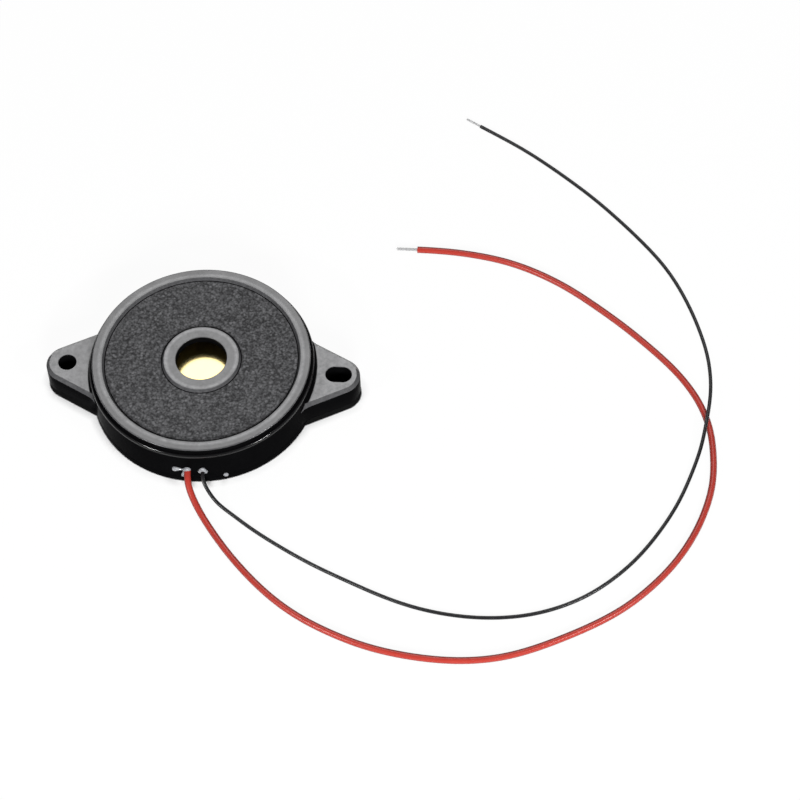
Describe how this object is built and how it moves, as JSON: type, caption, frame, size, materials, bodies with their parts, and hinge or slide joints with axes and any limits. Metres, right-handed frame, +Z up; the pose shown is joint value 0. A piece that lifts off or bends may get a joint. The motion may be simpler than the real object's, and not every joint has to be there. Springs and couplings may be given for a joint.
{
  "type": "piezo buzzer",
  "caption": "Round enclosed piezo buzzer with a sound hole, a textured recessed face, two mounting ears, and a red and a black lead with stripped ends.",
  "frame": {"origin": "centre of the round body's bottom face, on the surface that the buzzer stands on", "axes": "+Z up along the body's axis, out of the sound hole; +X along the ears, towards the slotted ear; the leads leave the wall towards -Y"},
  "size_m": [0.0898, 0.0882, 0.0068],
  "materials": {
    "black_plastic": "moulded black plastic, satin on the rim and ears, glossy on the wall, speckled on the face",
    "clear_glue": "clear, glossy",
    "brass": "bright rolled sheet",
    "ceramic": "matt, fired",
    "silver": "fired silver, satin",
    "solder": "bright solder",
    "tinned_wire": "tinned strands",
    "red_insulation": "soft gloss",
    "black_insulation": "soft gloss"
  },
  "bodies": {
    "root": {"housing": "black_plastic", "back_cover": "black_plastic", "cover_glue": "clear_glue", "brass_plate": "brass", "plate_adhesive": "clear_glue", "piezo_ceramic": "ceramic", "silver_electrode": "silver", "red_solder_joint": "solder", "black_solder_joint": "solder", "red_inner_wire": "tinned_wire", "black_inner_wire": "tinned_wire", "red_lead": "red_insulation", "black_lead": "black_insulation", "red_bare_end": "tinned_wire", "black_bare_end": "tinned_wire", "red_exit_glue": "clear_glue", "black_exit_glue": "clear_glue"}
  },
  "joints": []
}
